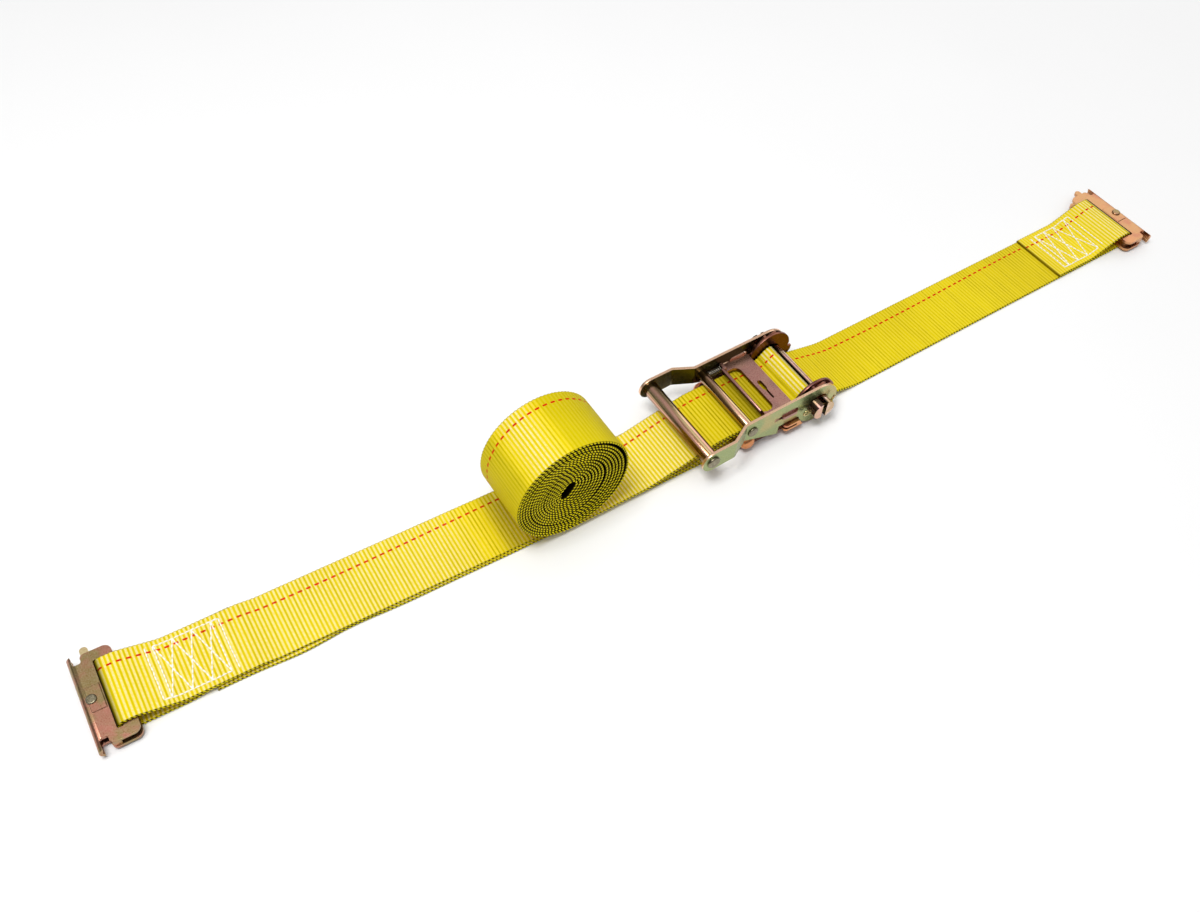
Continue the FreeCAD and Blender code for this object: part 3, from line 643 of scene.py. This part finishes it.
def stitches(name, x0, x1, surface, turn):
    """The thread of a stitch box from x0 to x1 on a surface, given as height and normal by place."""
    verts, faces, along = [], [], []
    for line in stitch_lines(x0, x1):
        for start, end in zip(line, line[1:]):
            size = math.dist(start, end)
            count = max(1, round(size / STITCH))
            way = (np.array(end) - start) / size
            wobble = rng.uniform(-WOBBLE, WOBBLE, count + 1)
            for i in range(count):
                ends = (size * i / count + HOLE, size * (i + 1) / count - HOLE)
                add_stitch(verts, faces, along, surface, start, way, ends, wobble[i:i + 2])
    points = np.array(verts)
    turn_flat(points, turn)
    mesh = bpy.data.meshes.new(name)
    mesh.from_pydata((points * MM).tolist(), [], faces)
    mesh.update()
    fill(mesh, "along", along)
    mesh.shade_smooth()
    made = bpy.data.objects.new(name, mesh)
    bpy.context.scene.collection.objects.link(made)
    made.data.materials.append(MATERIALS["stitching"])
    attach(made, "base")
    return made


def surface_of(points):
    """For a place x, the height and upward normal of a folded strap's topmost face there."""
    x, z = points[:, 0], points[:, 1]

    def at(place):
        spans = (np.minimum(x[:-1], x[1:]) <= place) & (np.maximum(x[:-1], x[1:]) >= place)
        crossed = np.flatnonzero(spans & (np.abs(np.diff(x)) > 0.05))
        share = (place - x[crossed]) / (x[crossed + 1] - x[crossed])
        height = z[crossed] + share * (z[crossed + 1] - z[crossed])
        best = crossed[height.argmax()]
        way = (points[best + 1] - points[best]) * np.sign(x[best + 1] - x[best])
        way /= np.linalg.norm(way)
        up = (-way[1], way[0])
        return height.max() + up[1] * HALF_THICK, up

    return at


# ---- build: materials --------------------------------------------------------------------
GOLD = rgb(196, 174, 104)
PALE = rgb(206, 200, 176)
MATERIALS = {
    "webbing": webbing_material(),
    "stitching": thread_material(),
    # The handle's and the base's inward faces get painted shade.
    "handle_plating": plated(
        "handle_plating", (rgb(150, 162, 108), rgb(160, 168, 112), rgb(186, 168, 112), PALE),
        patch=14.0, grain=0.10, shade_facing="inward", edge=(246, 200, 168)),
    "base_plating": plated(
        "base_plating", (rgb(132, 80, 70), rgb(148, 94, 78), rgb(116, 76, 80), GOLD),
        grain=0.12, shade_facing="inward", shade=(96, 46, 38)),
    "lock_plating": plated(
        "lock_plating", (rgb(208, 136, 84), rgb(222, 154, 98), rgb(198, 120, 94), PALE), grain=0.12),
    # The pawl's faces that look towards -X, such as its pull flange, get painted shade.
    "pawl_plating": plated(
        "pawl_plating", (rgb(184, 130, 120), rgb(192, 146, 126), rgb(164, 118, 112), PALE),
        grain=0.15, shade_facing=(-1, 0, 0), shade=(70, 34, 36)),
    "fitting_plating": plated(
        "fitting_plating", (rgb(176, 118, 96), rgb(152, 130, 82), rgb(186, 120, 102), PALE),
        patch=46.0, roughness=(0.26, 0.44), grain=0.24),
    # The right fitting's copy of the fitting plating, more orange and brighter: partly its own tone,
    # partly painted light.
    "fitting_plating_right": plated(
        "fitting_plating_right", (rgb(212, 148, 102), rgb(204, 152, 104), rgb(196, 128, 98), PALE),
        patch=34.0, roughness=(0.26, 0.44), grain=0.18),
    "latch_plating": plated(
        "latch_plating", (rgb(226, 206, 156), rgb(214, 186, 134), rgb(226, 200, 166), PALE)),
    # Painted reflection: long dark and bright streaks along Y stand in for the reflections seen along
    # round bars.
    "bright_zinc": plated(
        "bright_zinc", (rgb(222, 194, 142), rgb(120, 84, 50), rgb(226, 170, 150), rgb(252, 238, 200)),
        patch=150.0, stretch=(1, 0.04, 1), roughness=(0.12, 0.22), grain=0.12),
    "spring_wire": wire_material(),
    # The spool rods' faces that look up and towards -X get painted shade, a near-black band beside the
    # slot.
    "rod_steel": plated(
        "rod_steel", (rgb(226, 168, 158), rgb(196, 164, 126), rgb(232, 196, 184), PALE),
        patch=60.0, roughness=(0.14, 0.26), grain=0.12, shade_facing=(-1.2, 0, 0.85), shade=(20, 12, 8)),
    "rivet_steel": plated(
        "rivet_steel", (rgb(134, 124, 100), rgb(112, 104, 82), rgb(160, 150, 124), PALE), patch=300.0),
    "pin_brass": plated(
        "pin_brass", (rgb(196, 182, 122), rgb(176, 158, 104), rgb(206, 160, 134), PALE),
        patch=90.0, grain=0.15),
}
# Nodes whose finish differs from that of their slot.
FINISHES = {
    "spool_rod_left": "rod_steel", "spool_rod_right": "rod_steel",
    "left_fitting_rivet": "rivet_steel", "right_fitting_rivet": "fitting_plating",
    "right_fitting_body": "fitting_plating_right", "right_fitting_latch": "fitting_plating_right",
    "grip_rivet": "rivet_steel", "crossbar_rivet": "rivet_steel",
    "cotter_pin_near": "pin_brass", "cotter_pin_far": "pin_brass",
}


# ---- build: straps --------------------------------------------------------------------------
left_turn = (ANCHOR_X, LEFT_ANGLE)
right_turn = (0.0, RIGHT_ANGLE)

# The fixed strap's way back wanders sideways under its way out, and its end is folded in askew.
fixed = arc_line(fixed_strap_corners(), STEP)
fixed_x = fixed[:, 0]
fixed_at = lengths(fixed)
returning = fixed_at > fixed_at[fixed_x.argmax()]
sway = 1.5 * np.cos((fixed_x + 415) / 16) * bump(fixed_x, *BACK_SWAY)
shift = np.where(returning, -1.1 - sway, 0.0)
shift *= np.clip((ANCHOR_X - 10 - fixed_x) / 60, 0, 1)
shift += 1.7 * np.clip(1 - fixed_at / 45, 0, 1)
left_slot_x = LEFT_FOLD_X + LEFT_THROUGH
# Painted light and shade: the fixed strap gets less painted light and darker grooves where it bends into
# the slot and beside the roll, and painted shadows at the slot and beside the roll.
wrapped = bump(fixed_x, left_slot_x, 1.6)
beside_roll = bump(fixed_x, *ROLL_SIDE_SHADE)
painted_light = 0.80 * (1 - wrapped) - 0.6 * beside_roll
groove_shade = 0.55 + 0.4 * np.maximum(wrapped, beside_roll)
slot_shadow = bump(fixed_x, left_slot_x - 0.4, SLOT_SHADE_WIDTH)
shadow = np.maximum(slot_shadow, 0.45 * bump(fixed_x, *ROLL_SHADE))
piece = strap("webbing_fixed", fixed, painted_light, groove_shade, (np.zeros(len(fixed)), shadow), shift=shift,
              turn=left_turn, melt=(True, True))
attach(piece, "base")
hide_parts("fixed_strap")

# The long strap is one line, cut where it goes into and out of the part that turns with the spool.
long_line = arc_line(long_strap_corners(), STEP)
enter = cut_index(long_line, TURN_R, right_side=False)
leave = cut_index(long_line, TURN_R, right_side=True)
roll = roll_line()
tail = np.concatenate([roll, long_line[1:enter]])
turn_line = long_line[enter:leave + 1]
load = long_line[leave + 1:]
tail_at = lengths(tail)
turn_start = tail_at[-1] + STEP
turn_length = lengths(turn_line)[-1]
load_start = turn_start + turn_length + STEP

# The roll is painted lightest where its face leans towards the light, and the tail is painted dark under
# the handle.
way = directions(tail)
lean = np.degrees(np.arctan2(-way[:, 1], -way[:, 0]))
rolled = np.arange(len(tail)) < len(roll)
under_handle = np.clip((tail[:, 0] - HANDLE_SHADE_X) / HANDLE_SHADE_FADE, 0, 1)
painted_light = np.where(rolled, 0.95 * bump(lean, *ROLL_LIGHT), 0.84 - 0.72 * under_handle)
roll_groove_shade = 0.25 + 0.6 * bump(lean, *ROLL_GROOVE_SHADE[0]) + 0.4 * bump(lean, *ROLL_GROOVE_SHADE[1])
groove_shade = np.where(rolled, roll_groove_shade, 0.45 + 0.65 * under_handle)
from_end = tail_at[rolled].max() - tail_at
outer_turn = from_end < 2 * math.pi * (ROLL_R - 1.2)
# Painted shade: near-black between the roll's turns, and a painted shadow on the tail under the pawl.
under_pawl = np.where(rolled, 0.0, 0.34 * bump(tail[:, 0], *PAWL_SHADE))
painted_shade = ((rolled & ~outer_turn).astype(float), np.where(rolled, 1.0, under_pawl))
piece = strap("webbing_roll_and_tail", tail, painted_light, groove_shade, painted_shade, trim=(None, TURN_R + 0.06),
              melt=(True, False))
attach(piece, "base")
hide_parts("strap_roll", "tail_strap")

# Painted light on the spool turn, and painted shade where it dives into the slot.
painted_light = np.full(len(turn_line), 0.85)
groove_shade = np.full(len(turn_line), 0.3)
in_slot = 0.9 * bump(turn_line[:, 0], 0.0, 2.2)
piece = strap("webbing_spool_turn", turn_line, painted_light, groove_shade, (in_slot, in_slot), start=turn_start,
              trim=(TURN_R, TURN_R))
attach(piece, "spool")
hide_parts("spool_turn")

load_x = load[:, 0]
load_at = lengths(load)
folded = load_at > load_at[load_x.argmax()]
# Painted light on the folded part near the fold, darker painted grooves on the flat run, and painted shade
# where the strap goes into the right fitting's slot.
painted_light = np.where(folded, 0.30 + 0.45 * bump(load_x, *FOLD_LIGHT), 0.12)
groove_shade = np.where(folded, 0.30, 0.75)
slot_shadow = 0.8 * bump(load_x, load_x.max(), 1.8)
piece = strap("webbing_load", load, painted_light, groove_shade, (slot_shadow, np.zeros(len(load))), start=load_start,
              turn=right_turn, trim=(TURN_R + 0.06, None), melt=(False, True))
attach(piece, "base")
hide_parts("load_strap")

for word, line, x0, x1, turn in (
    ("left", fixed, -498.0, -449.5, left_turn),
    ("right", load, 288.5, 333.0, right_turn),
):
    stitches("stitching_" + word, x0, x1, surface_of(line), turn)


# ---- springs ---------------------------------------------------------------------------------
def coil_spring(node, joint):
    """A spring with closed ends in place of the CAD one, riding with its joint's parent body."""
    turns = 7
    closed = 0.9              # turns that lie flat at each end
    closed_pitch = 2.1        # of those turns, in wire radii
    wire = 0.00043            # radius of the wire
    steps = 20
    sides = 8
    low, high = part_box(node)
    size = high - low
    length = max(size.x, size.y)
    radius = size.z / 2 - wire
    along = -Vector(joint["axis"]).normalized()
    start = (low + high) / 2 - along * length / 2
    across = along.orthogonal().normalized()
    third = along.cross(across)
    run = length - 2 * wire
    end_rise = closed * closed_pitch * wire
    verts, faces, at = [], [], []
    for i in range(turns * steps + 1):
        turn = i / steps
        rise = np.interp(turn, (0, closed, turns - closed, turns), (0, end_rise, run - end_rise, run))
        angle = 2 * math.pi * turn
        outward = across * math.cos(angle) + third * math.sin(angle)
        centre = start + along * (rise + wire) + outward * radius
        for j in range(sides):
            around = 2 * math.pi * j / sides
            verts.append(centre + wire * (outward * math.cos(around) + along * math.sin(around)))
        at.append(i * sides)
    for a, b in zip(at, at[1:]):
        for j in range(sides):
            k = (j + 1) % sides
            faces.append((a + j, b + j, b + k, a + k))
    faces.append(tuple(range(sides)))
    faces.append(tuple(at[-1] + j for j in reversed(range(sides))))
    mesh = bpy.data.meshes.new("coil_" + node)
    mesh.from_pydata(verts, [], faces)
    mesh.update()
    mesh.shade_smooth()
    made = bpy.data.objects.new("coil_" + node, mesh)
    bpy.context.scene.collection.objects.link(made)
    made.data.materials.append(MATERIALS["spring_wire"])
    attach(made, joint["parent"])
    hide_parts(node)
    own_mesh(made)


for joint in frame["joints"]:
    for spring in joint.get("deforming_nodes") or []:
        coil_spring(spring["node"], joint)


# ---- build: metal ----------------------------------------------------------------------------
slots = {part["node"]: part["material_slot"] for part in frame["record"]["subparts"]}
for name, node in frame["nodes"].items():
    if node.hide_render:
        continue
    node.data.materials.clear()
    node.data.materials.append(MATERIALS[FINISHES.get(name, slots[name])])
    weld = node.modifiers.new("weld", "WELD")
    weld.merge_threshold = 0.000005    # joins the corners that the import leaves apart
    rim = node.modifiers.new("rim", "BEVEL")
    rim.width = 0.0003                 # sheared and filed edges
    rim.segments = 2
    rim.limit_method = "ANGLE"
    rim.angle_limit = math.radians(50)


# ---- floor, light and camera ---------------------------------------------------------------
def area_light(name, place, aim, size, power):
    """A white soft box at a place, turned to face where it is aimed."""
    data = bpy.data.lights.new(name, "AREA")
    data.shape = "RECTANGLE"
    data.size, data.size_y = size
    data.energy = power
    lamp = bpy.data.objects.new(name, data)
    lamp.location = place
    lamp.rotation_mode = "QUATERNION"
    lamp.rotation_quaternion = (Vector(place) - Vector(aim)).to_track_quat("Z", "Y")
    bpy.context.scene.collection.objects.link(lamp)


def floor():
    """A plain, near-white sheet that the strap lies on."""
    mesh = bpy.data.meshes.new("floor")
    half = 6.0
    corners = [(-half, -half, 0), (half, -half, 0), (half, half, 0), (-half, half, 0)]
    mesh.from_pydata(corners, [], [(0, 1, 2, 3)])
    made = bpy.data.objects.new("floor", mesh)
    bpy.context.scene.collection.objects.link(made)
    made.data.materials.append(floor_material())


def world():
    """A studio dome, dark at the horizon and white overhead."""
    made = bpy.data.worlds.new("studio")
    bpy.context.scene.world = made
    made.use_nodes = True
    tree = made.node_tree
    back = tree.nodes["Background"]
    ramp = tree.nodes.new("ShaderNodeValToRGB")
    parts = tree.nodes.new("ShaderNodeSeparateXYZ")
    place = tree.nodes.new("ShaderNodeTexCoord")
    tree.links.new(place.outputs["Generated"], parts.inputs[0])
    tree.links.new(parts.outputs["Z"], ramp.inputs[0])
    first, last = ramp.color_ramp.elements
    first.position, first.color = 0.02, (0.05, 0.05, 0.05, 1)
    last.position, last.color = 1.0, (1.0, 1.0, 1.0, 1)
    for height, level in ((0.5, 0.22), (0.75, 0.38), (0.88, 0.62)):
        ramp.color_ramp.elements.new(height).color = (level, level, level, 1)
    tree.links.new(ramp.outputs[0], back.inputs["Color"])
    back.inputs["Strength"].default_value = 1.3


def camera():
    """The view: from the near left, well above, and rolled a little."""
    azimuth, elevation, roll = (math.radians(v) for v in (-35.16, 52.69, 3.24))
    distance = 0.881
    target = Vector((-0.1586, 0.0209, 0.0))
    back = Vector((
        math.sin(azimuth) * math.cos(elevation),
        -math.cos(azimuth) * math.cos(elevation),
        math.sin(elevation),
    ))
    level = (-back).cross(Vector((0, 0, 1))).normalized()
    upward = level.cross(-back)
    right = level * math.cos(roll) + upward * math.sin(roll)
    up = upward * math.cos(roll) - level * math.sin(roll)
    data = bpy.data.cameras.new("camera")
    data.sensor_width = 36.0
    data.lens = 35.70
    data.clip_start, data.clip_end = 0.01, 50.0
    made = bpy.data.objects.new("camera", data)
    turned = Matrix((right, up, back)).transposed().to_4x4()
    made.matrix_world = Matrix.Translation(target + back * distance) @ turned
    bpy.context.scene.collection.objects.link(made)
    bpy.context.scene.camera = made


floor()
world()
camera()
area_light("key", (-0.70, -0.10, 1.80), (-0.20, 0.0, 0.0), (0.7, 0.6), 22.0)
area_light("card", (1.45, 0.54, 0.90), (0.37, 0.0, 0.0), (1.1, 1.1), 4.0)
bpy.context.scene.view_settings.view_transform = "Standard"
